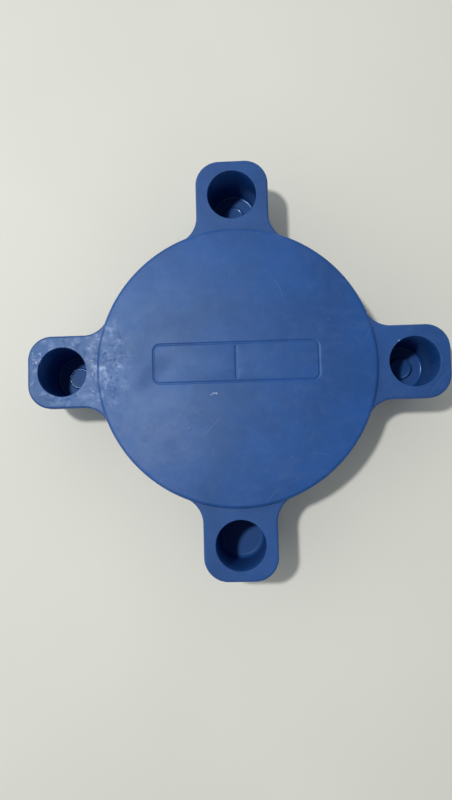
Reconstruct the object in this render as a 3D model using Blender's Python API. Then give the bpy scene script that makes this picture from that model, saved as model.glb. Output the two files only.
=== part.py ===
"""Plastic blanking cover for a raised-face pipe flange, nominal 2 inch, class 150.

A round cover disc snaps into a carrier with four lugs, and lies flat on the flange's raised face.
Each lug holds a hollow peg, which pushes into a bolt hole of the flange.
The origin is on the axis, in the plane that the peg tips stand on. +Z points out of the pipe.
Sizes are in millimetres here, and mesh coordinates are written in metres.
"""

import math

import bmesh
import bpy
from mathutils import Matrix, Vector

MM = 0.001

# The mating flange, ASME B16.5 NPS 2 class 150.
BOLT_CIRCLE_R = 120.65 / 2
BOLT_HOLE_R = 19.05 / 2
RAISED_FACE_R = 92.1 / 2
RAISED_FACE_H = 1.6
PIPE_BORE_R = 26.25

# Driving dimensions of the cover.
DISC_R = 48.0
LUG_W = 25.2
LUG_TIP_R = 72.4
LUG_CORNER_R = 8.2
ROOT_FILLET_R = 9.2
LUG_T = 4.2
DISC_STEP = 1.2
SEAT_DEPTH = 0.8
STAND_H = 25.0
POCKET_MOUTH_R = 8.55
POCKET_DEPTH = 22.5
CORE_DEPTH = 1.4
GAP = 0.3

# Levels above the plane of the peg tips.
Z_LUG_TOP = STAND_H
Z_LUG_UNDER = Z_LUG_TOP - LUG_T
Z_DISC_TOP = Z_LUG_TOP + DISC_STEP
Z_SEAT_TOP = Z_LUG_TOP - SEAT_DEPTH
Z_SEAL_FACE = Z_LUG_UNDER + RAISED_FACE_H
Z_WEB_UNDER = Z_SEAL_FACE + CORE_DEPTH
Z_FLOOR = Z_LUG_TOP - POCKET_DEPTH

# The snap-in joint between the disc's spigot and the carrier's ring.
FACE_CLEARANCE = 0.35
RING_BORE_R = RAISED_FACE_R + FACE_CLEARANCE
SPIGOT_R = RING_BORE_R - GAP
Z_BEAD = 23.3
BEAD_H = 0.65
BEAD_HALF_W = 0.4
SEAT_CLEARANCE = 0.35
SEAT_R = DISC_R + SEAT_CLEARANCE

# The underside of the disc, cored out where it spans the pipe's bore.
CORE_R = PIPE_BORE_R + 3.0
CORE_SLOPE = 0.6
GATE_NUB_R = 2.0
GATE_NUB_H = 0.7
GATE_NUB_SLOPE = 0.3

# The blank marking, engraved in the disc.
FIELD_CENTRE = (0.0, 1.5)
FIELD_W = 57.0
FIELD_H = 14.0
FIELD_CORNER_R = 2.5
FIELD_LINE = 0.7
FIELD_DEPTH = 0.35

# The peg and its socket in the lug.
LIP_T = 1.1
NECK_R = 9.6
COLLAR_R = 10.9
COLLAR_T = 1.2
SHANK_ROOT_R = BOLT_HOLE_R - 0.22
SHANK_TIP_R = BOLT_HOLE_R - 0.42
POCKET_TOP_R = POCKET_MOUTH_R - 0.05
POCKET_FLOOR_R = 8.35
FLOOR_FILLET_R = 0.5
TIP_CHAMFER = 1.4
TIP_FACE_R = 7.4
TIP_RECESS_R = 5.0
TIP_RECESS_D = 0.9
RIB_COUNT = 8
RIB_STEP_COUNT = 4
RIB_H = 0.3
Z_RIB_TOP = Z_LUG_UNDER - 1.3
Z_RIB_END = 2.6
RIB_RUN_OUT = 0.8

# The plug that closes the hole in a peg's floor.
PLUG_R = 4.0
PLUG_T = 1.0
PLUG_STEM_R = 2.2
PLUG_SEAT_R = PLUG_R + GAP
PLUG_SEAT_D = 0.6
PLUG_RIM_W = 0.55
PLUG_DISH_R = PLUG_R - 0.9
PLUG_DISH_D = 0.15
PLUG_EDGE = 0.2
PLUG_UNDER_EDGE = 0.15
PLUG_STEM_H = 1.6
PLUG_STEM_DRAFT = 0.05
PLUG_STEM_CHAMFER = 0.4

# Round counts, small edges, and how far a cutter reaches past what it cuts.
DISC_SEGMENTS = 72
PEG_SEGMENTS = RIB_COUNT * RIB_STEP_COUNT
PLUG_SEGMENTS = 24
EDGE = 0.4
REACH = 2.0

BLUE = (0.045, 0.115, 0.32, 1.0)
ROUGHNESS = 0.45
SHARP_ANGLE = math.radians(35)

# Each lug's name, its direction from the axis in degrees, and how its plug sits in the peg's
# floor: the rise, the tilt and the direction of the high side from the lug's own direction, or
# None where the floor is plain.
LUGS = (
    ("east", 0.0, (1.25, 20.0, 70.0)),
    ("north", 90.0, (0.15, 3.0, 135.0)),
    ("west", 180.0, (0.0, 0.0, 0.0)),
    ("south", 270.0, None),
)


def clear_scene():
    """Removes every object that the file holds."""
    for obj in list(bpy.data.objects):
        bpy.data.objects.remove(obj)


def plastic(name, colour, roughness):
    """A plain Principled material."""
    material = bpy.data.materials.new(name)
    material.use_nodes = True
    shader = material.node_tree.nodes["Principled BSDF"]
    shader.inputs["Base Color"].default_value = colour
    shader.inputs["Roughness"].default_value = roughness
    shader.inputs["Metallic"].default_value = 0.0
    return material


def add_object(name, mesh, material):
    """Links a new object with this mesh and material."""
    obj = bpy.data.objects.new(name, mesh)
    bpy.context.scene.collection.objects.link(obj)
    if material:
        mesh.materials.append(material)
        mesh.shade_smooth()
        mesh.set_sharp_from_angle(angle=SHARP_ANGLE)
    return obj


def mesh_from(bm, name):
    """Turns a bmesh in millimetres into a mesh in metres, with its faces pointing out."""
    bmesh.ops.recalc_face_normals(bm, faces=bm.faces)
    bmesh.ops.scale(bm, vec=(MM, MM, MM), verts=bm.verts)
    mesh = bpy.data.meshes.new(name)
    bm.to_mesh(mesh)
    bm.free()
    return mesh


def add_cutter(name, mesh):
    """Adds an object that only shapes others and is no part of the cover."""
    cutter = add_object(name, mesh, None)
    cutter.hide_render = True
    cutter.display_type = "WIRE"
    return cutter


def cut(obj, cutter):
    """Cuts obj with cutter, by an exact Boolean modifier."""
    modifier = obj.modifiers.new(cutter.name, "BOOLEAN")
    modifier.operation = "DIFFERENCE"
    modifier.solver = "EXACT"
    modifier.object = cutter


def arc(centre, radius, start, end, steps):
    """Points of an arc in a plane, from start to end in degrees, both ends included."""
    points = []
    for i in range(steps + 1):
        a = math.radians(start + (end - start) * i / steps)
        points.append((centre[0] + radius * math.cos(a), centre[1] + radius * math.sin(a)))
    return points


def turn(bm, profile, segments, closed=False, swell=None):
    """Turns a profile of (radius, z) about the Z axis.

    An open profile starts and ends on the axis, and a closed one is a loop clear of it.
    swell(place, step) is what is added to the radius, for a place in the profile and a step round it.
    """
    rings = []
    for place, (radius, z) in enumerate(profile):
        if radius == 0:
            rings.append([bm.verts.new((0, 0, z))])
            continue
        ring = []
        for i in range(segments):
            a = 2 * math.pi * i / segments
            r = radius + (swell(place, i) if swell else 0.0)
            ring.append(bm.verts.new((r * math.cos(a), r * math.sin(a), z)))
        rings.append(ring)
    pairs = list(zip(rings, rings[1:]))
    if closed:
        pairs.append((rings[-1], rings[0]))
    for a, b in pairs:
        for i in range(segments):
            j = (i + 1) % segments
            if len(a) == 1:
                bm.faces.new((a[0], b[i], b[j]))
            elif len(b) == 1:
                bm.faces.new((a[i], a[j], b[0]))
            else:
                bm.faces.new((a[i], a[j], b[j], b[i]))


def turned_mesh(name, profile, segments, closed=False, swell=None):
    """A mesh turned from one profile."""
    bm = bmesh.new()
    turn(bm, profile, segments, closed, swell)
    return mesh_from(bm, name)


def add_prism(bm, points, z0, z1):
    """Adds an upright prism over an outline of (x, y) points."""
    face = bm.faces.new([bm.verts.new((x, y, z0)) for x, y in points])
    moved = bmesh.ops.extrude_face_region(bm, geom=[face])["geom"]
    top = [v for v in moved if isinstance(v, bmesh.types.BMVert)]
    bmesh.ops.translate(bm, vec=(0, 0, z1 - z0), verts=top)


def lug_matrix(degrees):
    """Places a piece made on the axis at the bolt circle, in a lug's direction."""
    turned = Matrix.Rotation(math.radians(degrees), 4, "Z")
    return turned @ Matrix.Translation((BOLT_CIRCLE_R * MM, 0, 0))


def carrier_outline():
    """Outline of the carrier: the ring's circle, with a filleted lug on each side."""
    half = LUG_W / 2
    fillet_y = half + ROOT_FILLET_R
    fillet_x = math.sqrt((DISC_R + ROOT_FILLET_R) ** 2 - fillet_y**2)
    root = math.degrees(math.atan2(fillet_y, fillet_x))
    corner_x = LUG_TIP_R - LUG_CORNER_R
    corner_y = half - LUG_CORNER_R
    lug = arc((fillet_x, -fillet_y), ROOT_FILLET_R, 180 - root, 90, 7)
    lug += arc((corner_x, -corner_y), LUG_CORNER_R, -90, 0, 8)
    lug += arc((corner_x, corner_y), LUG_CORNER_R, 0, 90, 8)
    lug += arc((fillet_x, fillet_y), ROOT_FILLET_R, -90, -180 + root, 7)
    ring = arc((0, 0), DISC_R, root, 90 - root, 9)[1:-1]
    points = []
    for _, degrees, _ in LUGS:
        turned = Matrix.Rotation(math.radians(degrees), 2)
        points += [turned @ Vector(p) for p in lug + ring]
    return points


def ring_bore_profile():
    """Profile of the carrier's bore, with the groove that the disc's bead snaps into."""
    groove_r = SPIGOT_R + BEAD_H + GAP
    slope = BEAD_HALF_W / BEAD_H
    spread = GAP * math.hypot(1, slope)
    z_outer = BEAD_HALF_W + spread - slope * (groove_r - SPIGOT_R)
    z_inner = BEAD_HALF_W + spread - slope * (RING_BORE_R - SPIGOT_R)
    return [
        (0, Z_LUG_TOP + REACH),
        (RING_BORE_R, Z_LUG_TOP + REACH),
        (RING_BORE_R, Z_BEAD + z_inner),
        (groove_r, Z_BEAD + z_outer),
        (groove_r, Z_BEAD - z_outer),
        (RING_BORE_R, Z_BEAD - z_inner),
        (RING_BORE_R, Z_LUG_UNDER - REACH),
        (0, Z_LUG_UNDER - REACH),
    ]


def socket_profile():
    """Profile of the stepped hole in a lug: the mouth, the lip, and the peg's neck and collar."""
    z_lip = Z_LUG_TOP - LIP_T
    z_collar = Z_LUG_UNDER + COLLAR_T + GAP
    return [
        (0, Z_LUG_TOP + REACH),
        (POCKET_MOUTH_R + EDGE / 2, Z_LUG_TOP + REACH),
        (POCKET_MOUTH_R + EDGE / 2, Z_LUG_TOP),
        (POCKET_MOUTH_R, Z_LUG_TOP - EDGE / 2),
        (POCKET_MOUTH_R, z_lip),
        (NECK_R + GAP, z_lip),
        (NECK_R + GAP, z_collar),
        (COLLAR_R + GAP, z_collar),
        (COLLAR_R + GAP, Z_LUG_UNDER - REACH),
        (0, Z_LUG_UNDER - REACH),
    ]


def build_carrier(material):
    """The flat ring with four lugs that carries the disc and the pegs."""
    bm = bmesh.new()
    add_prism(bm, carrier_outline(), Z_LUG_UNDER, Z_LUG_TOP)
    rims = [e for e in bm.edges if abs(e.verts[0].co.z - e.verts[1].co.z) < LUG_T / 2]
    bmesh.ops.bevel(bm, geom=rims, offset=EDGE, segments=1, affect="EDGES")
    carrier = add_object("lug_carrier", mesh_from(bm, "lug_carrier"), material)

    bore = turned_mesh("ring_bore_cutter", ring_bore_profile(), DISC_SEGMENTS)
    cut(carrier, add_cutter("ring_bore_cutter", bore))

    seat = [(0, Z_LUG_TOP + REACH), (SEAT_R, Z_LUG_TOP + REACH), (SEAT_R, Z_SEAT_TOP), (0, Z_SEAT_TOP)]
    cut(carrier, add_cutter("disc_seat_cutter", turned_mesh("disc_seat_cutter", seat, DISC_SEGMENTS)))

    socket = turned_mesh("socket_cutter", socket_profile(), PEG_SEGMENTS)
    for name, degrees, _ in LUGS:
        cutter = add_cutter("socket_cutter_" + name, socket)
        cutter.matrix_world = lug_matrix(degrees)
        cut(carrier, cutter)


def disc_profile():
    """Profile of the cover disc: its rim, the spigot with its snap bead, and the cored underside."""
    rim_z = Z_SEAT_TOP + GAP
    profile = [(0, Z_DISC_TOP)]
    profile += reversed(arc((DISC_R - EDGE, Z_DISC_TOP - EDGE), EDGE, 0, 90, 2))
    profile += [
        (DISC_R, rim_z),
        (SPIGOT_R, rim_z),
        (SPIGOT_R, Z_BEAD + BEAD_HALF_W),
        (SPIGOT_R + BEAD_H, Z_BEAD),
        (SPIGOT_R, Z_BEAD - BEAD_HALF_W),
        (SPIGOT_R - EDGE / 2, Z_SEAL_FACE),
        (CORE_R, Z_SEAL_FACE),
        (CORE_R - CORE_SLOPE, Z_WEB_UNDER),
        (GATE_NUB_R + GATE_NUB_SLOPE, Z_WEB_UNDER),
        (GATE_NUB_R, Z_WEB_UNDER - GATE_NUB_H),
        (0, Z_WEB_UNDER - GATE_NUB_H),
    ]
    return profile


def rounded_rectangle(centre, width, height, radius, steps=3):
    """Outline of a rectangle with round corners."""
    x = width / 2 - radius
    y = height / 2 - radius
    points = []
    for i, (sx, sy) in enumerate(((1, 1), (-1, 1), (-1, -1), (1, -1))):
        corner = (centre[0] + sx * x, centre[1] + sy * y)
        points += arc(corner, radius, 90 * i, 90 * (i + 1), steps)
    return points


def field_cutter():
    """The blank marking: a field with round corners, and a bar that divides it in two."""
    z0 = Z_DISC_TOP - FIELD_DEPTH
    z1 = Z_DISC_TOP + REACH / 2
    x, y = FIELD_CENTRE
    inner_w = FIELD_W - 2 * FIELD_LINE
    inner_h = FIELD_H - 2 * FIELD_LINE
    outer = rounded_rectangle(FIELD_CENTRE, FIELD_W, FIELD_H, FIELD_CORNER_R)
    inner = rounded_rectangle(FIELD_CENTRE, inner_w, inner_h, FIELD_CORNER_R - FIELD_LINE)
    bm = bmesh.new()
    loops = []
    for points, z in ((outer, z0), (outer, z1), (inner, z1), (inner, z0)):
        loops.append([bm.verts.new((px, py, z)) for px, py in points])
    for a, b in zip(loops, loops[1:] + loops[:1]):
        for i in range(len(a)):
            j = (i + 1) % len(a)
            bm.faces.new((a[i], a[j], b[j], b[i]))
    half_line = FIELD_LINE / 2
    half_bar = inner_h / 2 - FIELD_LINE
    bar = [
        (x - half_line, y - half_bar),
        (x + half_line, y - half_bar),
        (x + half_line, y + half_bar),
        (x - half_line, y + half_bar),
    ]
    add_prism(bm, bar, z0, z1)
    return mesh_from(bm, "field_cutter")


def build_disc(material):
    """The round cover disc that blanks off the pipe."""
    disc = add_object("cover_disc", turned_mesh("cover_disc", disc_profile(), DISC_SEGMENTS), material)
    cut(disc, add_cutter("field_cutter", field_cutter()))


def shank_radius(z):
    """Outer radius of the peg's shank, which tapers towards its tip."""
    share = (Z_LUG_UNDER - z) / Z_LUG_UNDER
    return SHANK_ROOT_R + (SHANK_TIP_R - SHANK_ROOT_R) * share


def peg_profile(has_plug):
    """Profile of a peg, from the outer edge of its top round to its pocket.

    Also returns the places in the profile where the crush ribs have their full height.
    """
    z_top = Z_LUG_TOP - LIP_T - GAP
    outer = [
        (NECK_R, z_top),
        (NECK_R, Z_LUG_UNDER + COLLAR_T),
        (COLLAR_R, Z_LUG_UNDER + COLLAR_T),
        (COLLAR_R, Z_LUG_UNDER),
        (SHANK_ROOT_R, Z_LUG_UNDER),
        (shank_radius(Z_RIB_TOP), Z_RIB_TOP),
        (shank_radius(Z_RIB_TOP - RIB_RUN_OUT), Z_RIB_TOP - RIB_RUN_OUT),
        (shank_radius(Z_RIB_END + RIB_RUN_OUT), Z_RIB_END + RIB_RUN_OUT),
        (shank_radius(Z_RIB_END), Z_RIB_END),
        (shank_radius(TIP_CHAMFER), TIP_CHAMFER),
        (TIP_FACE_R, 0),
        (TIP_RECESS_R, 0),
        (TIP_RECESS_R, TIP_RECESS_D),
    ]
    full_ribs = (6, 7)
    fillet = arc((POCKET_FLOOR_R - FLOOR_FILLET_R, Z_FLOOR + FLOOR_FILLET_R), FLOOR_FILLET_R, -90, 0, 2)
    wall = fillet + [(POCKET_TOP_R, z_top)]
    if not has_plug:
        # An open profile has to start on the axis, so the pocket comes first and runs up the wall.
        inner = [(0, Z_FLOOR)] + wall
        shift = len(inner)
        return inner + outer + [(0, TIP_RECESS_D)], tuple(place + shift for place in full_ribs)
    hole_r = PLUG_STEM_R + GAP
    hole = [
        (hole_r, TIP_RECESS_D),
        (hole_r, Z_FLOOR - PLUG_SEAT_D),
        (PLUG_SEAT_R, Z_FLOOR - PLUG_SEAT_D),
        (PLUG_SEAT_R, Z_FLOOR),
    ]
    return outer + hole + wall, full_ribs


def build_peg(name, degrees, has_plug, material):
    """A hollow peg, with crush ribs that grip the flange's bolt hole."""
    profile, full_ribs = peg_profile(has_plug)

    def rib(place, step):
        on_rib = step % RIB_STEP_COUNT < 2
        return RIB_H if place in full_ribs and on_rib else 0.0

    mesh = turned_mesh("peg_" + name, profile, PEG_SEGMENTS, closed=has_plug, swell=rib)
    add_object("peg_" + name, mesh, material).matrix_world = lug_matrix(degrees)


def build_floor_plug(name, degrees, rise, tilt, high_side, material):
    """A push-in plug that closes the hole in a peg's floor. Some sit proud and a little tilted."""
    z_seat = Z_FLOOR - PLUG_SEAT_D + GAP
    stem_end_r = PLUG_STEM_R - PLUG_STEM_DRAFT
    profile = [
        (0, PLUG_T - PLUG_DISH_D),
        (PLUG_DISH_R, PLUG_T - PLUG_DISH_D),
        (PLUG_R - PLUG_RIM_W, PLUG_T),
        (PLUG_R - PLUG_EDGE, PLUG_T),
        (PLUG_R, PLUG_T - PLUG_EDGE),
        (PLUG_R, PLUG_UNDER_EDGE),
        (PLUG_R - PLUG_UNDER_EDGE, 0),
        (PLUG_STEM_R, 0),
        (stem_end_r, PLUG_STEM_CHAMFER - PLUG_STEM_H),
        (stem_end_r - PLUG_STEM_CHAMFER, -PLUG_STEM_H),
        (0, -PLUG_STEM_H),
    ]
    mesh = turned_mesh("floor_plug_" + name, profile, PLUG_SEGMENTS)
    plug = add_object("floor_plug_" + name, mesh, material)
    seated = Matrix.Translation((0, 0, (z_seat + rise) * MM))
    high_side = math.radians(high_side)
    axis = Vector((math.sin(high_side), -math.cos(high_side), 0))
    tilted = Matrix.Rotation(math.radians(tilt), 4, axis)
    plug.matrix_world = lug_matrix(degrees) @ seated @ tilted


def build_cover():
    """Builds every piece of the cover."""
    clear_scene()
    blue = plastic("blue_plastic", BLUE, ROUGHNESS)
    build_carrier(blue)
    build_disc(blue)
    for name, degrees, seat in LUGS:
        build_peg(name, degrees, seat is not None, blue)
        if seat:
            build_floor_plug(name, degrees, *seat, blue)


build_cover()
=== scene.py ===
"""The looks of a push-in flange cover, moulded in blue plastic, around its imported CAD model.

Lengths are in millimetres, and each mesh is scaled to metres as it is made.
The pieces fill the same places as the CAD nodes that they stand for. They have smooth rounds,
rolled edges, an engraved field, crush ribs, and the marks that a mould leaves.
"""

import math

import bmesh
import bpy
from mathutils import Matrix, Vector


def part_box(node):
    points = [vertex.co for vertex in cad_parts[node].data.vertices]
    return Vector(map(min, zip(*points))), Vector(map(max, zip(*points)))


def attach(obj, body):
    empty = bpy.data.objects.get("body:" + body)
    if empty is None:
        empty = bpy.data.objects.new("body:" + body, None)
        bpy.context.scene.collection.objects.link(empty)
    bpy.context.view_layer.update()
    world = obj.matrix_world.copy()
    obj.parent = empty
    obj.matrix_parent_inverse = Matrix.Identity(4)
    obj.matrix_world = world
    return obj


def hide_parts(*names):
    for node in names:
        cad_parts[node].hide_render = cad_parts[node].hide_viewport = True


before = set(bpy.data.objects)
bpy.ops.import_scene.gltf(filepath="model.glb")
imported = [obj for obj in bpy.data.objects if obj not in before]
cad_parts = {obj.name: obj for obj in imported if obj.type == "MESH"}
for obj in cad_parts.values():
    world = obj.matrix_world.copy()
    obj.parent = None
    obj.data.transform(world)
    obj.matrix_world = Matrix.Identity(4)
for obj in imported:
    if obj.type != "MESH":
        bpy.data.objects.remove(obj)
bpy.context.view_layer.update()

MM = 0.001
BODY = "root"


def node_box(name):
    """Lowest and highest corner of a CAD node, in millimetres."""
    low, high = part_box(name)
    return low / MM, high / MM


# Places that the frame gives.
CARRIER_LOW, CARRIER_HIGH = node_box("lug_carrier")
DISC_LOW, DISC_HIGH = node_box("cover_disc")
PEG_LOW, PEG_HIGH = node_box("peg_east")
Z_LUG_UNDER = CARRIER_LOW.z
Z_LUG_TOP = CARRIER_HIGH.z
Z_DISC_TOP = DISC_HIGH.z
Z_SEAL_FACE = DISC_LOW.z
LUG_TIP_R = CARRIER_HIGH.x
DISC_R = DISC_HIGH.x
BOLT_CIRCLE_R = (PEG_LOW.x + PEG_HIGH.x) / 2
COLLAR_R = (PEG_HIGH.x - PEG_LOW.x) / 2

# Sizes of the CAD model that its boxes don't give.
LUG_W = 25.2
LUG_CORNER_R = 8.2
ROOT_FILLET_R = 9.2
RING_BORE_R = 46.4
SEAT_DEPTH = 0.8
MOUTH_R = 8.55
POCKET_FLOOR_R = 8.35
POCKET_DEPTH = 22.5
LIP_T = 1.1
NECK_R = 9.6
COLLAR_T = 1.2
SHANK_ROOT_R = 9.3
SHANK_TIP_R = 9.1
TIP_CHAMFER = 1.4
TIP_FACE_R = 7.4
TIP_RECESS_R = 5.0
TIP_RECESS_D = 0.9
PLUG_R = 4.0
PLUG_T = 1.0
PLUG_SEAT_D = 0.6
PLUG_STEM_R = 2.2
PLUG_GAP = 0.3
CORE_R = 29.25
CORE_DEPTH = 1.4
CORE_SLOPE = 0.6
GATE_NUB_R = 2.0
GATE_NUB_H = 0.7
GATE_NUB_SLOPE = 0.2
Z_FLOOR = Z_LUG_TOP - POCKET_DEPTH
Z_SEAT = Z_LUG_TOP - SEAT_DEPTH

FIELD_CENTRE = (0.0, 1.5)
FIELD_W = 57.0
FIELD_H = 14.0
FIELD_CORNER_R = 2.5
FIELD_LINE = 0.7

# What only the fine meshes have. SEAM is the gap round the disc's rim, and TIGHT is the gap
# between the other pieces that fit together.
SEAM = 0.004
TIGHT = 0.04
SPIGOT_GAP = 0.15
SPIGOT_EDGE_R = 0.4
BORE_CHAMFER = 0.3
CORE_EDGE_R = 0.4
GATE_NUB_FOOT_W = 0.5
GATE_NUB_FOOT_H = 0.3
GATE_NUB_DISH_D = 0.1
EDGE_R = 0.75
UNDER_EDGE_R = 0.35
DISC_EDGE_R = 1.15
SEAT_EDGE_R = 0.06
MOUTH_EDGE_R = 0.14
COLLAR_EDGE_R = 0.25
SHANK_FILLET_R = 0.4
POCKET_TOP_R = MOUTH_R - 0.02
FLOOR_FILLET_R = 0.7
PLAIN_FILLET_R = 1.8
FIELD_DEPTH = 0.17
FIELD_GROOVE_HALF_W = 0.62
SEAL_GROOVES_R = (42.0, 36.5)
SEAL_GROOVE_HALF_W = 0.5
EJECTOR_COUNT = 4
EJECTOR_CIRCLE_R = 33.0
EJECTOR_R = 2.5
EJECTOR_DEPTH = 0.15
PARTING_LEVEL = 0.45
PARTING_INSET = 0.03
PARTING_RELIEF = 0.025
PARTING_HALF_W = 0.08
RIB_COUNT = 8
RIB_H = 0.3
RIB_LOW = (2.0, 3.6)
RIB_HIGH = (Z_LUG_UNDER - 2.6, Z_LUG_UNDER - 1.2)
PLUG_PLAY = 0.1
PLUG_SEAT_CHAMFER = 0.1
PLUG_RIM_R = 0.45
PLUG_DISH_R = PLUG_R - 2.2 * PLUG_RIM_R
PLUG_DISH_D = 0.14
PLUG_UNDER_EDGE = 0.15
PLUG_STEM_H = 1.6
PLUG_STEM_DRAFT = 0.05
PLUG_STEM_CHAMFER = 0.4
ROUND = 256
ROUND_SMALL = 128
ROUND_PLUG = 96
ROUND_EJECTOR = 48

# How far a cutter reaches past what it cuts.
REACH = 2.0

# The peg's tip: where the shank's wall ends, how far the chamfer's two corners are broken, as
# (across, up), and the edge of the recess.
Z_SHANK_END = TIP_CHAMFER + 0.2
TIP_SHOULDER = (0.12, 0.25)
TIP_TOE = (0.3, 0.12)
TIP_RECESS_CHAMFER = 0.2

# A plug tilted by more degrees than this is loose, and has no polished rim.
LOOSE_TILT = 10.0

# Each lug's name and direction, and how the plug in its pocket's floor sits: the rise, the tilt
# and the direction of its high side from the lug's own direction, or None where the floor is plain.
LUGS = (
    ("east", 0.0, (1.25, 20.0, 70.0)),
    ("north", 90.0, (0.15, 3.0, 135.0)),
    ("west", 180.0, (0.0, 0.0, 0.0)),
    ("south", 270.0, None),
)


# Geometry helpers.

def arc(centre, radius, start, end, steps):
    """Points of an arc in a plane, from start to end in degrees, both ends included."""
    points = []
    for i in range(steps + 1):
        a = math.radians(start + (end - start) * i / steps)
        points.append((centre[0] + radius * math.cos(a), centre[1] + radius * math.sin(a)))
    return points


def smooth_step(low, high, x):
    """Rises smoothly from 0 at low to 1 at high."""
    t = max(0.0, min(1.0, (x - low) / (high - low)))
    return t * t * (3 - 2 * t)


def bridge(bm, a, b):
    """Joins two loops of points with quads."""
    for i in range(len(a)):
        j = (i + 1) % len(a)
        bm.faces.new((a[i], a[j], b[j], b[i]))


def turn(bm, profile, segments, closed=False, swell=None):
    """Turns a profile of (radius, z) about Z. swell(radius, z, angle) is added to the radius."""
    rings = []
    for radius, z in profile:
        if radius == 0:
            rings.append([bm.verts.new((0, 0, z))])
            continue
        ring = []
        for i in range(segments):
            a = 2 * math.pi * i / segments
            r = radius + (swell(radius, z, a) if swell else 0.0)
            ring.append(bm.verts.new((r * math.cos(a), r * math.sin(a), z)))
        rings.append(ring)
    pairs = list(zip(rings, rings[1:]))
    if closed:
        pairs.append((rings[-1], rings[0]))
    for a, b in pairs:
        if len(a) == 1:
            for i in range(segments):
                bm.faces.new((a[0], b[i], b[(i + 1) % segments]))
        elif len(b) == 1:
            for i in range(segments):
                bm.faces.new((a[i], a[(i + 1) % segments], b[0]))
        else:
            bridge(bm, a, b)


def add_object(name, bm, matrix=None):
    """Turns a bmesh in millimetres into an object in metres, with its faces pointing out."""
    bmesh.ops.recalc_face_normals(bm, faces=bm.faces)
    bmesh.ops.scale(bm, vec=(MM, MM, MM), verts=bm.verts)
    if matrix:
        bm.transform(matrix)
    mesh = bpy.data.meshes.new(name)
    bm.to_mesh(mesh)
    bm.free()
    obj = bpy.data.objects.new(name, mesh)
    bpy.context.scene.collection.objects.link(obj)
    return obj


def turned(name, profile, segments, closed=False, swell=None, matrix=None):
    """An object turned from one profile."""
    bm = bmesh.new()
    turn(bm, profile, segments, closed, swell)
    return add_object(name, bm, matrix)


def lug_matrix(degrees):
    """Places a piece made on the axis at the bolt circle, in a lug's direction."""
    turned_to = Matrix.Rotation(math.radians(degrees), 4, "Z")
    return turned_to @ Matrix.Translation((BOLT_CIRCLE_R * MM, 0, 0))


def cut(obj, cutters):
    """Cuts obj with each cutter, applies the cuts and removes the cutters."""
    for cutter in cutters:
        modifier = obj.modifiers.new(cutter.name, "BOOLEAN")
        modifier.operation = "DIFFERENCE"
        modifier.solver = "EXACT"
        modifier.object = cutter
    evaluated = obj.evaluated_get(bpy.context.evaluated_depsgraph_get())
    mesh = bpy.data.meshes.new_from_object(evaluated)
    obj.modifiers.clear()
    obj.data = mesh
    for cutter in cutters:
        bpy.data.objects.remove(cutter)


def finish_piece(obj, nodes, material, sharp=40.0):
    """Shades a piece, gives it its material, and puts it in the place of CAD nodes.

    Edges that turn by more than sharp degrees stay sharp.
    """
    mesh = obj.data
    mesh.materials.clear()
    mesh.materials.append(material)
    mesh.shade_smooth()
    mesh.set_sharp_from_angle(angle=math.radians(sharp))
    weighted = obj.modifiers.new("weighted_normals", "WEIGHTED_NORMAL")
    weighted.keep_sharp = True
    weighted.weight = 100
    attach(obj, BODY)
    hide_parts(*nodes)


# The lug carrier.

def carrier_outline(inset):
    """Outline of the carrier, drawn in by inset: the ring's circle with four filleted lugs."""
    ring_r = DISC_R - inset
    half = LUG_W / 2 - inset
    fillet_r = ROOT_FILLET_R + inset
    corner_r = LUG_CORNER_R - inset
    fillet_y = half + fillet_r
    fillet_x = math.sqrt((ring_r + fillet_r) ** 2 - fillet_y**2)
    root = math.degrees(math.atan2(fillet_y, fillet_x))
    corner_x = LUG_TIP_R - LUG_CORNER_R
    corner_y = LUG_W / 2 - LUG_CORNER_R
    lug = arc((fillet_x, -fillet_y), fillet_r, 180 - root, 90, 24)
    lug += arc((corner_x, -corner_y), corner_r, -90, 0, 24)
    lug += arc((corner_x, corner_y), corner_r, 0, 90, 24)
    lug += arc((fillet_x, fillet_y), fillet_r, -90, -180 + root, 24)
    ring = arc((0, 0), ring_r, root, 90 - root, 40)[1:-1]
    points = []
    for _, degrees, _ in LUGS:
        rotation = Matrix.Rotation(math.radians(degrees), 2)
        points += [rotation @ Vector(p) for p in lug + ring]
    return points


def carrier_blank():
    """The carrier's plate, with rolled edges and a faint parting line round its wall."""
    parting_z = Z_LUG_UNDER + PARTING_LEVEL * (Z_LUG_TOP - Z_LUG_UNDER)
    levels = []
    for inset, z in arc((UNDER_EDGE_R, Z_LUG_UNDER + UNDER_EDGE_R), UNDER_EDGE_R, 270, 180, 4):
        levels.append((inset, z))
    levels += [
        (PARTING_INSET, parting_z - PARTING_HALF_W),
        (PARTING_INSET - PARTING_RELIEF, parting_z),
        (PARTING_INSET, parting_z + PARTING_HALF_W),
    ]
    for inset, z in arc((EDGE_R, Z_LUG_TOP - EDGE_R), EDGE_R, 180, 90, 8):
        levels.append((inset, z))
    bm = bmesh.new()
    loops = []
    for inset, z in levels:
        loops.append([bm.verts.new((x, y, z)) for x, y in carrier_outline(inset)])
    for a, b in zip(loops, loops[1:]):
        bridge(bm, a, b)
    bm.faces.new(list(reversed(loops[0])))
    bm.faces.new(loops[-1])
    return add_object("carrier_moulding", bm)


def bore_cutter():
    """The carrier's bore."""
    wide_r = RING_BORE_R + BORE_CHAMFER
    profile = [
        (0, Z_LUG_TOP + REACH),
        (RING_BORE_R, Z_LUG_TOP + REACH),
        (RING_BORE_R, Z_LUG_UNDER + BORE_CHAMFER),
        (wide_r, Z_LUG_UNDER),
        (wide_r, Z_LUG_UNDER - REACH),
        (0, Z_LUG_UNDER - REACH),
    ]
    return turned("bore_cutter", profile, ROUND)


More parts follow.
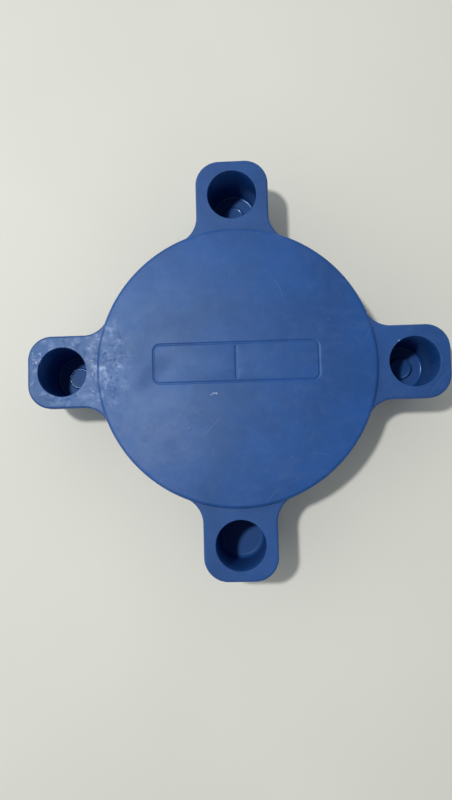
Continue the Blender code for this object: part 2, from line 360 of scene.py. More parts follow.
def seat_cutter():
    """The seat that the disc's rim lies in. Its edge is rolled over where it meets the lugs."""
    seat_r = DISC_R + SEAM
    roll = SEAT_EDGE_R
    margin = 0.2
    wide_r = seat_r + roll + margin
    profile = [(0, Z_LUG_TOP + REACH), (wide_r, Z_LUG_TOP + REACH), (wide_r, Z_LUG_TOP)]
    profile += arc((seat_r + roll, Z_LUG_TOP - roll), roll, 90, 180, 4)
    profile += [(seat_r, Z_SEAT), (0, Z_SEAT)]
    return turned("seat_cutter", profile, ROUND)


def socket_cutter(name, degrees):
    """The stepped hole through a lug: the rolled mouth, the lip, and the peg's neck and collar."""
    z_lip = Z_LUG_TOP - LIP_T
    z_collar = Z_LUG_UNDER + COLLAR_T + TIGHT
    edge = MOUTH_EDGE_R
    margin = 0.1
    wide_r = MOUTH_R + edge + margin
    profile = [(0, Z_LUG_TOP + REACH), (wide_r, Z_LUG_TOP + REACH), (wide_r, Z_LUG_TOP)]
    profile += arc((MOUTH_R + edge, Z_LUG_TOP - edge), edge, 90, 180, 5)
    profile += [
        (MOUTH_R, z_lip),
        (NECK_R + TIGHT, z_lip),
        (NECK_R + TIGHT, z_collar),
        (COLLAR_R + TIGHT, z_collar),
        (COLLAR_R + TIGHT, Z_LUG_UNDER - REACH),
        (0, Z_LUG_UNDER - REACH),
    ]
    return turned("socket_cutter_" + name, profile, ROUND_SMALL, matrix=lug_matrix(degrees))


def build_carrier(material):
    """The flat ring with four lugs that carries the disc and the pegs."""
    carrier = carrier_blank()
    cutters = [bore_cutter(), seat_cutter()]
    cutters += [socket_cutter(name, degrees) for name, degrees, _ in LUGS]
    cut(carrier, cutters)
    finish_piece(carrier, ["lug_carrier"], material)


# The cover disc.

def rounded_rectangle(centre, width, height, radius, steps=8):
    """Outline of a rectangle with round corners."""
    x = width / 2 - radius
    y = height / 2 - radius
    points = []
    for i, (sx, sy) in enumerate(((1, 1), (-1, 1), (-1, -1), (1, -1))):
        corner = (centre[0] + sx * x, centre[1] + sy * y)
        points += arc(corner, radius, 90 * i, 90 * (i + 1), steps)
    return points


def groove_section():
    """Section of the engraved groove, as (offset from its middle, z): shallow and soft-edged."""
    steps = 12
    points = []
    for i in range(steps + 1):
        offset = FIELD_GROOVE_HALF_W * (2 * i / steps - 1)
        share = math.cos(math.pi * offset / (2 * FIELD_GROOVE_HALF_W)) ** 2
        points.append((offset, Z_DISC_TOP - FIELD_DEPTH * share))
    above = Z_DISC_TOP + REACH / 4
    return [(-FIELD_GROOVE_HALF_W, above)] + points + [(FIELD_GROOVE_HALF_W, above)]


def field_cutter():
    """The blank field: a groove in the shape of a rectangle with round corners."""
    bm = bmesh.new()
    loops = []
    for offset, z in groove_section():
        grow = 2 * offset - FIELD_LINE
        points = rounded_rectangle(FIELD_CENTRE, FIELD_W + grow, FIELD_H + grow, FIELD_CORNER_R + grow / 2)
        loops.append([bm.verts.new((x, y, z)) for x, y in points])
    for a, b in zip(loops, loops[1:] + loops[:1]):
        bridge(bm, a, b)
    return add_object("field_cutter", bm)


def bar_cutter():
    """The groove that divides the blank field in two."""
    length = FIELD_H - 5 * FIELD_LINE
    thinnest = 0.02
    section = [p for p in groove_section() if p[0] >= 0]
    bm = bmesh.new()
    loops = []
    for offset, z in reversed(section):
        width = max(2 * offset, thinnest)
        # A radius just under half the width keeps the points of the two round ends apart.
        points = rounded_rectangle(FIELD_CENTRE, width, length + width, width / 2.001)
        loops.append([bm.verts.new((x, y, z)) for x, y in points])
    for a, b in zip(loops, loops[1:]):
        bridge(bm, a, b)
    bm.faces.new(loops[0])
    bm.faces.new(list(reversed(loops[-1])))
    return add_object("bar_cutter", bm)


def disc_profile():
    """Profile of the disc: its rolled rim, the spigot in the carrier's bore, and the cored underside."""
    spigot_r = RING_BORE_R - SPIGOT_GAP
    rim_z = Z_SEAT + TIGHT
    core_z = Z_SEAL_FACE + CORE_DEPTH
    core_edge_r = CORE_R - CORE_SLOPE - CORE_EDGE_R
    nub_z = core_z - GATE_NUB_H
    profile = [(0, Z_DISC_TOP)]
    profile += arc((DISC_R - DISC_EDGE_R, Z_DISC_TOP - DISC_EDGE_R), DISC_EDGE_R, 90, 0, 12)
    profile += [(DISC_R, rim_z), (spigot_r, rim_z)]
    profile += arc((spigot_r - SPIGOT_EDGE_R, Z_SEAL_FACE + SPIGOT_EDGE_R), SPIGOT_EDGE_R, 0, -90, 8)
    for groove_r in SEAL_GROOVES_R:
        profile += arc((groove_r, Z_SEAL_FACE), SEAL_GROOVE_HALF_W, 0, 180, 14)
    profile += [(CORE_R, Z_SEAL_FACE)]
    profile += arc((core_edge_r, core_z - CORE_EDGE_R), CORE_EDGE_R, 0, 90, 7)
    profile += [(GATE_NUB_R + GATE_NUB_FOOT_W, core_z), (GATE_NUB_R, core_z - GATE_NUB_FOOT_H)]
    profile += [(GATE_NUB_R - GATE_NUB_SLOPE, nub_z), (0, nub_z + GATE_NUB_DISH_D)]
    return profile


def ejector_cutters():
    """Shallow round marks that the mould's ejector pins leave on the underside."""
    z_mark = Z_SEAL_FACE + EJECTOR_DEPTH
    z_below = Z_SEAL_FACE - REACH / 2
    profile = [
        (0, z_mark),
        (EJECTOR_R - 0.1, z_mark),
        (EJECTOR_R, Z_SEAL_FACE),
        (EJECTOR_R, z_below),
        (0, z_below),
    ]
    cutters = []
    for i in range(EJECTOR_COUNT):
        a = 2 * math.pi * (i + 0.5) / EJECTOR_COUNT
        place = EJECTOR_CIRCLE_R * MM * Vector((math.cos(a), math.sin(a), 0))
        name = f"ejector_{i}"
        cutters.append(turned(name, profile, ROUND_EJECTOR, matrix=Matrix.Translation(place)))
    return cutters


def build_disc(material):
    """The round cover disc."""
    disc = turned("disc_moulding", disc_profile(), ROUND)
    cut(disc, [field_cutter(), bar_cutter()] + ejector_cutters())
    finish_piece(disc, ["cover_disc"], material, sharp=15.0)


# The pegs.

def rib_swell(radius, z, angle):
    """Crush ribs on the shank's outer wall: eight soft ridges that fade out towards both ends."""
    on_wall = radius > SHANK_TIP_R - 0.1
    if not on_wall:
        return 0.0
    ends = smooth_step(*RIB_LOW, z) * (1 - smooth_step(*RIB_HIGH, z))
    ridge = max(0.0, math.cos(RIB_COUNT * angle - math.radians(45))) ** 3
    return RIB_H * ends * ridge


def peg_profile(has_plug):
    """Profile of a peg as a closed loop, or from axis to axis where the floor is whole."""
    z_top = Z_LUG_TOP - LIP_T - TIGHT
    z_collar = Z_LUG_UNDER + COLLAR_T
    wall_steps = 14
    z_edge = Z_LUG_UNDER + COLLAR_EDGE_R
    outer = [(NECK_R, z_top), (NECK_R, z_collar), (COLLAR_R, z_collar), (COLLAR_R, z_edge)]
    outer += arc((COLLAR_R - COLLAR_EDGE_R, z_edge), COLLAR_EDGE_R, 0, -90, 3)
    fillet_place = (SHANK_ROOT_R + SHANK_FILLET_R, Z_LUG_UNDER - SHANK_FILLET_R)
    outer += arc(fillet_place, SHANK_FILLET_R, 90, 180, 4)
    z_start = Z_LUG_UNDER - 2 * SHANK_FILLET_R
    for i in range(wall_steps + 1):
        z = z_start + (Z_SHANK_END - z_start) * i / wall_steps
        share = (Z_LUG_UNDER - z) / Z_LUG_UNDER
        outer.append((SHANK_ROOT_R + (SHANK_TIP_R - SHANK_ROOT_R) * share, z))
    outer += [
        (SHANK_TIP_R - TIP_SHOULDER[0], TIP_CHAMFER - TIP_SHOULDER[1]),
        (TIP_FACE_R + TIP_TOE[0], TIP_TOE[1]),
        (TIP_FACE_R, 0),
        (TIP_RECESS_R + TIP_RECESS_CHAMFER, 0),
        (TIP_RECESS_R, TIP_RECESS_CHAMFER),
        (TIP_RECESS_R, TIP_RECESS_D),
    ]
    fillet_r = FLOOR_FILLET_R if has_plug else PLAIN_FILLET_R
    fillet = arc((POCKET_FLOOR_R - fillet_r, Z_FLOOR + fillet_r), fillet_r, -90, 0, 10)
    wall = fillet + [(POCKET_TOP_R, z_top)]
    if not has_plug:
        return [(0, Z_FLOOR)] + wall + outer + [(0, TIP_RECESS_D)]
    hole_r = PLUG_STEM_R + PLUG_PLAY
    seat_r = PLUG_R + PLUG_PLAY
    hole = [
        (hole_r, TIP_RECESS_D),
        (hole_r, Z_FLOOR - PLUG_SEAT_D),
        (seat_r, Z_FLOOR - PLUG_SEAT_D),
        (seat_r, Z_FLOOR - PLUG_SEAT_CHAMFER),
        (seat_r + PLUG_SEAT_CHAMFER, Z_FLOOR),
    ]
    return outer + hole + wall


def build_peg(name, degrees, has_plug, material):
    """A hollow peg, with crush ribs that grip the flange's bolt hole."""
    peg = turned(
        "peg_moulding_" + name,
        peg_profile(has_plug),
        ROUND_SMALL,
        closed=has_plug,
        swell=rib_swell,
        matrix=lug_matrix(degrees),
    )
    finish_piece(peg, ["peg_" + name], material)


def build_floor_plug(name, degrees, rise, tilt, high_side, material):
    """The round plug in a pocket's floor, with a rolled, slightly raised rim."""
    rim_r = PLUG_RIM_R
    z_dish = PLUG_T - PLUG_DISH_D
    stem_end_r = PLUG_STEM_R - PLUG_STEM_DRAFT
    profile = [(0, z_dish), (PLUG_DISH_R, z_dish)]
    profile += arc((PLUG_R - rim_r, PLUG_T - rim_r), rim_r, 135, 0, 10)
    profile += [
        (PLUG_R, PLUG_UNDER_EDGE),
        (PLUG_R - PLUG_UNDER_EDGE, 0),
        (PLUG_STEM_R, 0),
        (stem_end_r, PLUG_STEM_CHAMFER - PLUG_STEM_H),
        (stem_end_r - PLUG_STEM_CHAMFER, -PLUG_STEM_H),
        (0, -PLUG_STEM_H),
    ]
    z_under = Z_FLOOR - PLUG_SEAT_D + PLUG_GAP
    seated = Matrix.Translation((0, 0, (z_under + rise) * MM))
    high_turn = math.radians(high_side)
    axis = Vector((math.sin(high_turn), -math.cos(high_turn), 0))
    tilted = Matrix.Rotation(math.radians(tilt), 4, axis)
    plug = turned("floor_plug_moulding_" + name, profile, ROUND_PLUG)
    plug.matrix_world = lug_matrix(degrees) @ seated @ tilted
    finish_piece(plug, ["floor_plug_" + name], material)


# The material.

DISC_BASE = (0.0075, 0.058, 0.24)
CARRIER_BASE = (0.013, 0.06, 0.226)
# The pale film colour also paints the lamp's sheen where it is laid on near the lamp's reflection. The
# pale bloom colour paints that sheen as well as dust.
PALE_FILM_AND_SHEEN = (0.065, 0.118, 0.305, 1.0)
DUST_AND_SHEEN_PALE = (0.24, 0.275, 0.48, 1.0)
BLOOM_DEEP = (0.006, 0.035, 0.15, 1.0)
FLECK_PALE = (0.42, 0.48, 0.64, 1.0)
SCRATCH_PALE = (0.2, 0.27, 0.45, 1.0)
SHEEN_TINT = (0.62, 0.8, 1.0, 1.0)
GLOSS_ROUGHNESS = 0.22

# How much each kind of mark changes the colour, at most.
SHADE_RANGE = 0.14
MOTTLE_SHARE = 0.2
SMEAR_SHARE = 0.18
SPECK_SHARE = 0.3
SCRATCH_SHARE = 0.22
BLOTCH_SHARE = 0.36
SPOT_SHARE = 0.5
FLECK_SHARE = 0.6
# The film share also sets how much painted sheen the film patches add.
FILM_SHEEN_SHARE = 0.62
SMUDGE_SHARE = 0.3

# Patches of wear and of painted sheen where the lamp's reflection falls on the west lug and its root, and
# a film patch on the disc that paints more of that sheen: the centre, half the width, half the height, and
# how soft the edge is.
WORN_AND_SHEEN_ROOT = ((-45.5, 2.5), 8.0, 14.5, 0.5)
WORN_AND_SHEEN_LUG = ((-61.0, 0.0), 13.5, 14.0, 0.35)
WORN_AND_SHEEN_STREAK = ((-49.5, -1.0), 1.3, 9.0, 0.6)
WORN_AND_SHEEN_TIP = ((-69.5, 5.0), 3.0, 5.5, 0.8)
SHEEN_FILM_PATCH = ((-31.0, -24.0), 19.0, 18.0, 0.8)

# Thin marks: the start, the end, and half the width.
SMUDGE = ((-35.0, -7.5), (-23.5, 3.5), 2.8)
LONG_SCRATCH = ((-12.0, -23.7), (-6.0, -17.7), 0.09)

# Chips: the centre and the radius.
CHIPS = (((-7.0, -9.0), 0.42), ((-7.9, -8.9), 0.36), ((-8.7, -9.4), 0.28), ((55.2, 7.2), 0.3))

# Layers of hairline scratches: cells to the metre, length, width, share and seed.
SCRATCH_LAYERS = (
    (70.0, 0.42, 0.008, 0.16, 0.13),
    (130.0, 0.4, 0.012, 0.14, 0.37),
    (32.0, 0.45, 0.004, 0.2, 0.71),
)


class Nodes:
    """Builds a material's nodes with short calls."""

    def __init__(self, name):
        self.material = bpy.data.materials.new(name)
        self.material.use_nodes = True
        self.tree = self.material.node_tree
        self.shader = self.tree.nodes["Principled BSDF"]
        self.place = self.tree.nodes.new("ShaderNodeTexCoord").outputs["Object"]

    def new(self, kind, inputs=None, **settings):
        """A node with its settings, and inputs that are values or links."""
        node = self.tree.nodes.new(kind)
        for key, value in settings.items():
            setattr(node, key, value)
        for key, value in (inputs or {}).items():
            if isinstance(value, bpy.types.NodeSocket):
                self.tree.links.new(value, node.inputs[key])
            else:
                node.inputs[key].default_value = value
        return node

    def link(self, value, name):
        """Links a value to one of the shader's inputs."""
        self.tree.links.new(value, self.shader.inputs[name])

    def stretched(self, scale, turn_z=0.0, offset=(0, 0, 0)):
        """Object coordinates, turned about Z and scaled."""
        mapping = self.new(
            "ShaderNodeMapping",
            {
                "Vector": self.place,
                "Scale": scale,
                "Rotation": (0, 0, math.radians(turn_z)),
                "Location": offset,
            },
        )
        return mapping.outputs["Vector"]

    def shifted(self, distance):
        """Object coordinates moved by a distance in metres, so that two noises differ."""
        return self.stretched((1, 1, 1), 0.0, (distance, distance, 0))

    def noise(self, scale, detail=3.0, roughness=0.5, vector=None):
        """Noise from 0 to 1."""
        node = self.new(
            "ShaderNodeTexNoise",
            {
                "Vector": vector or self.place,
                "Scale": scale,
                "Detail": detail,
                "Roughness": roughness,
            },
        )
        return node.outputs["Fac"]

    def ramp(self, value, low, high, to_low=0.0, to_high=1.0):
        """Maps a value from low..high to to_low..to_high, smoothly and clamped."""
        node = self.new(
            "ShaderNodeMapRange",
            {
                "Value": value,
                "From Min": low,
                "From Max": high,
                "To Min": to_low,
                "To Max": to_high,
            },
            interpolation_type="SMOOTHSTEP",
        )
        return node.outputs["Result"]

    def maths(self, operation, a, b=0.0, clamp=False):
        """A sum or product of two values."""
        node = self.new("ShaderNodeMath", {0: a, 1: b}, operation=operation, use_clamp=clamp)
        return node.outputs[0]

    def mix(self, share, a, b):
        """Mixes two colours. They are the node's inputs 6 and 7, and its output 2."""
        node = self.tree.nodes.new("ShaderNodeMix")
        node.data_type = "RGBA"
        for key, value in ((0, share), (6, a), (7, b)):
            if isinstance(value, bpy.types.NodeSocket):
                self.tree.links.new(value, node.inputs[key])
            else:
                node.inputs[key].default_value = value
        return node.outputs[2]

    def bump(self, height, strength, distance, normal=None):
        """Bumps the surface by a height."""
        inputs = {"Height": height, "Strength": strength, "Distance": distance}
        if normal:
            inputs["Normal"] = normal
        return self.new("ShaderNodeBump", inputs).outputs["Normal"]


def scratch_layer(nodes, cells, length, width, share, seed):
    """Hairline scratches: at most one to a cell, each with its own direction and a slight bend.

    cells is cells to the metre. length and width are in shares of a cell, and share is how many
    cells have a scratch.
    """
    place = nodes.new("ShaderNodeMapping", {"Vector": nodes.place, "Location": (seed, seed * 2, 0)})
    cell = nodes.new(
        "ShaderNodeTexVoronoi",
        {"Vector": place.outputs["Vector"], "Scale": cells, "Randomness": 1.0},
        voronoi_dimensions="2D",
    )
    scaled = nodes.new("ShaderNodeVectorMath", {0: place.outputs["Vector"]}, operation="SCALE")
    scaled.inputs["Scale"].default_value = cells
    centre = nodes.new("ShaderNodeVectorMath", {0: cell.outputs["Position"]}, operation="SCALE")
    centre.inputs["Scale"].default_value = cells
    offset = nodes.new(
        "ShaderNodeVectorMath",
        {0: scaled.outputs["Vector"], 1: centre.outputs["Vector"]},
        operation="SUBTRACT",
    )
    chance = nodes.new("ShaderNodeSeparateColor", {"Color": cell.outputs["Color"]})
    turned_by = nodes.maths("MULTIPLY", chance.outputs["Red"], math.tau)
    local = nodes.new(
        "ShaderNodeVectorRotate",
        {"Vector": offset.outputs["Vector"], "Angle": turned_by},
        rotation_type="Z_AXIS",
    )
    axes = nodes.new("ShaderNodeSeparateXYZ", {"Vector": local.outputs["Vector"]})
    along = axes.outputs["X"]
    bend = nodes.maths("MULTIPLY", nodes.maths("MULTIPLY", along, along), 0.5)
    across = nodes.maths("ABSOLUTE", nodes.maths("ADD", axes.outputs["Y"], bend))
    line = nodes.ramp(across, width * 0.3, width, 1.0, 0.0)
    ends = nodes.ramp(nodes.maths("ABSOLUTE", along), length * 0.3, length, 1.0, 0.0)
    chosen = nodes.maths("LESS_THAN", chance.outputs["Green"], share)
    strength = nodes.maths("MULTIPLY", chosen, chance.outputs["Blue"])
    return nodes.maths("MULTIPLY", nodes.maths("MULTIPLY", line, ends), strength)


def patch(nodes, centre, half_width, half_height, soft, place=None):
    """A soft-edged mask, 1 inside an ellipse at centre and 0 outside it. Sizes are in millimetres."""
    shift = nodes.new(
        "ShaderNodeMapping",
        {
            "Vector": place or nodes.place,
            "Location": (-centre[0] / half_width, -centre[1] / half_height, 0),
            "Scale": (1 / (half_width * MM), 1 / (half_height * MM), 0),
        },
    )
    reach = nodes.new("ShaderNodeVectorMath", {0: shift.outputs["Vector"]}, operation="LENGTH")
    return nodes.ramp(reach.outputs["Value"], 1 - soft, 1 + soft, 1.0, 0.0)


def stroke(nodes, start, end, half_width):
    """A thin mark between two places in millimetres, 1 along its middle."""
    along = Vector(end) - Vector(start)
    turned_by = -math.atan2(along.y, along.x)
    middle = Matrix.Rotation(turned_by, 2) @ ((Vector(start) + Vector(end)) / 2)
    level = nodes.new("ShaderNodeMapping", {"Vector": nodes.place, "Rotation": (0, 0, turned_by)})
    return patch(nodes, middle, along.length / 2, half_width, 0.7, level.outputs["Vector"])


def add_dust_and_painted_sheen(nodes, colour, wear):
    """Wear, dust and painted sheen: pale blotches and darker spots on the west lug and its root, where the
    lamp's reflection falls, so that the pale blotches paint its sheen as well as dust; flecks there, which
    are partly painted glints, and chips; and a cloudy film, which near the reflection also paints sheen,
    with a dark smudge on the disc.

    Returns the new colour, and how much duller the surface is there.
    """
    high = nodes.new("ShaderNodeSeparateXYZ", {"Vector": nodes.place}).outputs["Z"]
    high = nodes.ramp(high, Z_LUG_UNDER * MM, (Z_LUG_UNDER + 2.0) * MM)
    root = nodes.maths("MULTIPLY", patch(nodes, *WORN_AND_SHEEN_ROOT), high)
    lug = nodes.maths("MULTIPLY", patch(nodes, *WORN_AND_SHEEN_LUG), 0.75)
    lug = nodes.maths("MULTIPLY", lug, high)
    streak = nodes.maths("MULTIPLY", patch(nodes, *WORN_AND_SHEEN_STREAK), high)
    tip = nodes.maths("MULTIPLY", patch(nodes, *WORN_AND_SHEEN_TIP), high)
    worn_and_sheen = nodes.maths("MAXIMUM", root, lug)
    # Pale blotches on the west lug and its root, where the lamp's reflection falls: dust, and a painted
    # sheen.
    blotches = nodes.ramp(nodes.noise(330.0, 6.0, 0.7), 0.47, 0.68)
    blotches = nodes.maths("MULTIPLY", blotches, worn_and_sheen)
    colour = nodes.mix(nodes.maths("MULTIPLY", blotches, BLOTCH_SHARE * wear), colour, DUST_AND_SHEEN_PALE)

    dark = nodes.ramp(nodes.noise(420.0, 5.0, 0.68, nodes.shifted(0.31)), 0.5, 0.66)
    dark = nodes.maths("MULTIPLY", dark, worn_and_sheen)
    colour = nodes.mix(nodes.maths("MULTIPLY", dark, SPOT_SHARE * wear), colour, BLOOM_DEEP)

    # Flecks gather near the lamp's reflection, where they are partly dust and partly painted glints.
    flecks = nodes.noise(1150.0, 3.0, 0.6, nodes.shifted(0.17))
    near = nodes.maths("MAXIMUM", nodes.maths("MAXIMUM", streak, tip), nodes.maths("MULTIPLY", root, 0.55))
    near = nodes.maths("MAXIMUM", near, nodes.maths("MULTIPLY", lug, 0.4))
    threshold = nodes.maths("SUBTRACT", 0.78, nodes.maths("MULTIPLY", near, 0.24))
    flecks = nodes.maths("MULTIPLY", nodes.maths("SUBTRACT", flecks, threshold), 9.0, clamp=True)
    flecks = nodes.maths("MULTIPLY", flecks, nodes.ramp(near, 0.05, 0.3))
    for centre, radius in CHIPS:
        flecks = nodes.maths("MAXIMUM", flecks, patch(nodes, centre, radius, 0.7 * radius, 0.6))
    colour = nodes.mix(nodes.maths("MULTIPLY", flecks, FLECK_SHARE * wear), colour, FLECK_PALE)

    # A pale film on the root and a patch on the disc: partly a film, partly a painted sheen from the lamp.
    sheen_film = nodes.maths("MULTIPLY", root, 0.5)
    sheen_film = nodes.maths("MAXIMUM", patch(nodes, *SHEEN_FILM_PATCH), sheen_film)
    cloud = nodes.ramp(nodes.noise(150.0, 7.0, 0.72), 0.36, 0.64, 0.4, 1.0)
    sheen_film = nodes.maths("MULTIPLY", sheen_film, cloud)
    colour = nodes.mix(nodes.maths("MULTIPLY", sheen_film, FILM_SHEEN_SHARE * wear), colour, PALE_FILM_AND_SHEEN)
    smudge = stroke(nodes, *SMUDGE)
    colour = nodes.mix(nodes.maths("MULTIPLY", smudge, SMUDGE_SHARE * wear), colour, BLOOM_DEEP)
    dull = nodes.maths("ADD", dark, nodes.maths("MULTIPLY", smudge, 0.55))
    return colour, nodes.maths("SUBTRACT", dull, blotches)


def uprightness(nodes):
    """Z of the surface's normal: 1 where it faces up, 0 on a wall, -1 where it faces down."""
    normal = nodes.new("ShaderNodeNewGeometry").outputs["Normal"]
    return nodes.new("ShaderNodeSeparateXYZ", {"Vector": normal}).outputs["Z"]


def steep_mask(nodes):
    """1 where the surface isn't level, such as a pocket's fillet and wall."""
    return nodes.ramp(uprightness(nodes), 0.984, 0.998, 1.0, 0.0)


def rim_mask(nodes):
    """1 on the rolled rim of a floor plug, whose own coordinates are centred on it."""
    flat = nodes.stretched((1, 1, 0))
    radius = nodes.new("ShaderNodeVectorMath", {0: flat}, operation="LENGTH").outputs["Value"]
    inner = (PLUG_R - 2.4 * PLUG_RIM_R) * MM
    return nodes.ramp(radius, inner, inner + 0.3 * MM)


def blue_plastic(name, base, roughness, specular, wear, gloss_mask=None):
    """Satin blue moulded plastic: mottled, with dust and a painted sheen on the west side, flecks and fine
    scratches. wear scales every mark, the painted sheen too.

    gloss_mask builds a mask of where the surface is polished.
    """
    nodes = Nodes(name)
    deep = tuple(c * (1 - SHADE_RANGE) for c in base) + (1.0,)
    light = tuple(c * (1 + SHADE_RANGE) for c in base) + (1.0,)
    broad = nodes.noise(42.0, 5.0, 0.62)
    colour = nodes.mix(nodes.ramp(broad, 0.3, 0.7), deep, light)

    mottle = nodes.noise(260.0, 6.0, 0.7)
    colour = nodes.mix(nodes.ramp(mottle, 0.42, 0.8, 0.0, MOTTLE_SHARE * wear), colour, PALE_FILM_AND_SHEEN)
    smear = nodes.noise(1.0, 5.0, 0.68, nodes.stretched((50.0, 190.0, 60.0), 40.0))
    colour = nodes.mix(nodes.ramp(smear, 0.5, 0.76, 0.0, SMEAR_SHARE * wear), colour, PALE_FILM_AND_SHEEN)
    # Dust and wear, and a sheen painted near the lamp's reflection.
    colour, uneven = add_dust_and_painted_sheen(nodes, colour, wear)

    specks = nodes.noise(1500.0, 2.0, 0.5, nodes.shifted(0.53))
    specks = nodes.maths("MULTIPLY", nodes.maths("SUBTRACT", specks, 0.735), 14.0, clamp=True)
    colour = nodes.mix(nodes.maths("MULTIPLY", specks, SPECK_SHARE * wear), colour, FLECK_PALE)

    scratches = stroke(nodes, *LONG_SCRATCH)
    for layer in SCRATCH_LAYERS:
        scratches = nodes.maths("MAXIMUM", scratches, scratch_layer(nodes, *layer))
    level = nodes.ramp(nodes.maths("ABSOLUTE", uprightness(nodes)), 0.6, 0.9)
    scratches = nodes.maths("MULTIPLY", scratches, level)
    drag = nodes.noise(1.0, 3.0, 0.6, nodes.stretched((1600.0, 1600.0, 30.0)))
    drag = nodes.maths("MULTIPLY", nodes.ramp(drag, 0.55, 0.75), nodes.maths("SUBTRACT", 1.0, level))
    scratches = nodes.maths("MAXIMUM", scratches, nodes.maths("MULTIPLY", drag, 0.5))
    colour = nodes.mix(nodes.maths("MULTIPLY", scratches, SCRATCH_SHARE * wear), colour, SCRATCH_PALE)
    nodes.link(colour, "Base Color")

    rough = nodes.ramp(nodes.noise(110.0, 5.0, 0.65), 0.25, 0.75, roughness - 0.02, roughness + 0.03)
    rough = nodes.maths("ADD", rough, nodes.maths("MULTIPLY", uneven, 0.1 * wear))
    if gloss_mask:
        gloss = gloss_mask(nodes)
        rough = nodes.maths("MULTIPLY", rough, nodes.maths("SUBTRACT", 1.0, gloss))
        rough = nodes.maths("ADD", rough, nodes.maths("MULTIPLY", gloss, GLOSS_ROUGHNESS))
    nodes.link(rough, "Roughness")

    peel = nodes.bump(nodes.noise(800.0, 4.0, 0.6), 0.3, 0.00007)
    wavy = nodes.bump(nodes.noise(60.0, 3.0, 0.5), 0.3, 0.00012, peel)
    scored = nodes.bump(scratches, 0.4, 0.00005, wavy)
    nodes.link(scored, "Normal")
    nodes.shader.inputs["IOR"].default_value = 1.5
    nodes.shader.inputs["Specular IOR Level"].default_value = specular
    nodes.shader.inputs["Specular Tint"].default_value = SHEEN_TINT
    return nodes.material


# The stage.

CAMERA_PLACE = (5.1, -24.7, Z_LUG_TOP + 203.9)
CAMERA_TURN = (3.69, 2.60, -1.49)
CAMERA_LENS = 27.05
LAMP_PLACE = (-195.0, 84.0, Z_LUG_TOP + 596.0)
LAMP_SIZE = 45.0
LAMP_POWER = 2.62
LAMP_COLOUR = (1.0, 0.985, 0.93)
SKY_COLOUR = (0.95, 1.0, 1.0, 1.0)
SKY_LOW = 0.7
SKY_TOP = 0.18
SKY_FADE = (0.45, 0.95)
SKY_BRIGHT_SIDE = (-0.75, 0.66, 0.0)
SKY_REACH = 0.8
SKY_SIDES = (0.5, 1.5)
FLOOR_CLEARANCE = 0.02
FLOOR_SIZE = 24000.0
FLOOR_DARK = (0.68, 0.68, 0.64, 1)
FLOOR_PALE = (0.72, 0.72, 0.68, 1)
FLOOR_ROUGHNESS = 0.85


def build_floor():
    """A plain pale floor under the peg tips."""
    bm = bmesh.new()
    bmesh.ops.create_grid(bm, x_segments=1, y_segments=1, size=FLOOR_SIZE / 2)
    floor = add_object("floor", bm)
    floor.location.z = -FLOOR_CLEARANCE * MM
    nodes = Nodes("floor_pale")
    tint = nodes.ramp(nodes.noise(6.0, 3.0, 0.5), 0.3, 0.7)
    nodes.link(nodes.mix(tint, FLOOR_DARK, FLOOR_PALE), "Base Color")
    nodes.shader.inputs["Roughness"].default_value = FLOOR_ROUGHNESS
    floor.data.materials.append(nodes.material)


def build_camera():
    """The camera, looking down on the cover from a little under a quarter of a metre."""
    data = bpy.data.cameras.new("camera")
    data.sensor_fit = "AUTO"
    data.sensor_width = 36.0
    data.lens = CAMERA_LENS
    data.clip_start = 0.005
    camera = bpy.data.objects.new("camera", data)
    camera.location = Vector(CAMERA_PLACE) * MM
    camera.rotation_euler = [math.radians(a) for a in CAMERA_TURN]
    bpy.context.scene.collection.objects.link(camera)
    bpy.context.scene.camera = camera


def build_lamp():
    """One lamp from the upper left."""
    data = bpy.data.lights.new("lamp", "AREA")
    data.shape = "DISK"
    data.size = LAMP_SIZE * MM
    data.energy = LAMP_POWER
    data.color = LAMP_COLOUR
    lamp = bpy.data.objects.new("lamp", data)
    lamp.location = Vector(LAMP_PLACE) * MM
    lamp.rotation_euler = Vector(LAMP_PLACE).to_track_quat("Z", "Y").to_euler()
    bpy.context.scene.collection.objects.link(lamp)


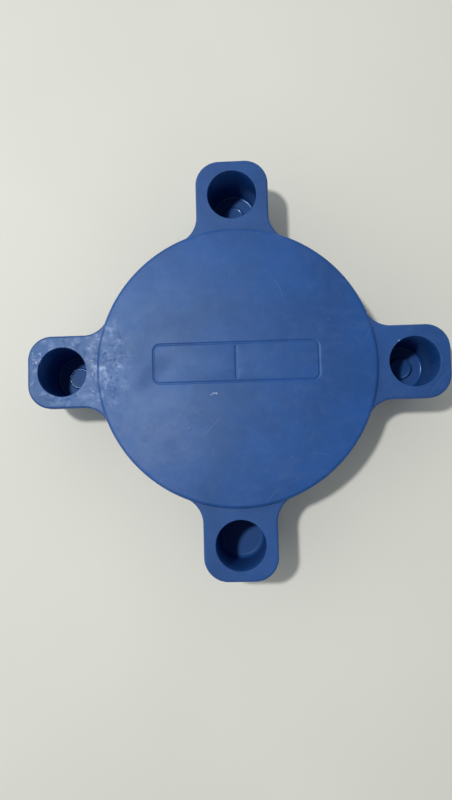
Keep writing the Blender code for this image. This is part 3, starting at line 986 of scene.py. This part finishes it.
def build_sky():
    """A soft fill from the surroundings: brighter low down, and on the lamp's side."""
    world = bpy.data.worlds.new("surroundings")
    world.use_nodes = True
    tree = world.node_tree
    background = tree.nodes["Background"]
    background.inputs["Color"].default_value = SKY_COLOUR
    direction = tree.nodes.new("ShaderNodeTexCoord").outputs["Generated"]

    height = tree.nodes.new("ShaderNodeSeparateXYZ")
    tree.links.new(direction, height.inputs["Vector"])
    fade = tree.nodes.new("ShaderNodeMapRange")
    fade.interpolation_type = "SMOOTHSTEP"
    fade.inputs["From Min"].default_value, fade.inputs["From Max"].default_value = SKY_FADE
    fade.inputs["To Min"].default_value = SKY_LOW
    fade.inputs["To Max"].default_value = SKY_TOP
    tree.links.new(height.outputs["Z"], fade.inputs["Value"])

    facing = tree.nodes.new("ShaderNodeVectorMath")
    facing.operation = "DOT_PRODUCT"
    facing.inputs[1].default_value = SKY_BRIGHT_SIDE
    tree.links.new(direction, facing.inputs[0])
    side = tree.nodes.new("ShaderNodeMapRange")
    side.inputs["From Min"].default_value = -SKY_REACH
    side.inputs["From Max"].default_value = SKY_REACH
    side.inputs["To Min"].default_value, side.inputs["To Max"].default_value = SKY_SIDES
    tree.links.new(facing.outputs["Value"], side.inputs["Value"])

    strength = tree.nodes.new("ShaderNodeMath")
    strength.operation = "MULTIPLY"
    tree.links.new(fade.outputs["Result"], strength.inputs[0])
    tree.links.new(side.outputs["Result"], strength.inputs[1])
    tree.links.new(strength.outputs["Value"], background.inputs["Strength"])
    bpy.context.scene.world = world


def build_cover():
    """Builds every piece of the cover."""
    outer = {"roughness": 0.45, "specular": 0.46, "wear": 1.0}
    build_carrier(blue_plastic("carrier_blue", CARRIER_BASE, **outer))
    build_disc(blue_plastic("disc_blue", DISC_BASE, **outer))
    inner = {"roughness": 0.6, "specular": 0.5, "wear": 0.4}
    peg_blue = blue_plastic("peg_blue", DISC_BASE, **inner, gloss_mask=steep_mask)
    plug_blue = blue_plastic("plug_blue", DISC_BASE, **inner, gloss_mask=rim_mask)
    plain_peg_blue = blue_plastic("plain_peg_blue", DISC_BASE, roughness=0.55, specular=0.4, wear=0.4)
    loose_plug_blue = blue_plastic("loose_plug_blue", DISC_BASE, roughness=0.5, specular=0.5, wear=0.4)
    for name, degrees, seat in LUGS:
        build_peg(name, degrees, seat is not None, peg_blue if seat else plain_peg_blue)
        if seat:
            rise, tilt, high_side = seat
            material = loose_plug_blue if tilt > LOOSE_TILT else plug_blue
            build_floor_plug(name, degrees, rise, tilt, high_side, material)


build_cover()
build_floor()
build_camera()
build_lamp()
build_sky()
bpy.context.scene.view_settings.view_transform = "Standard"
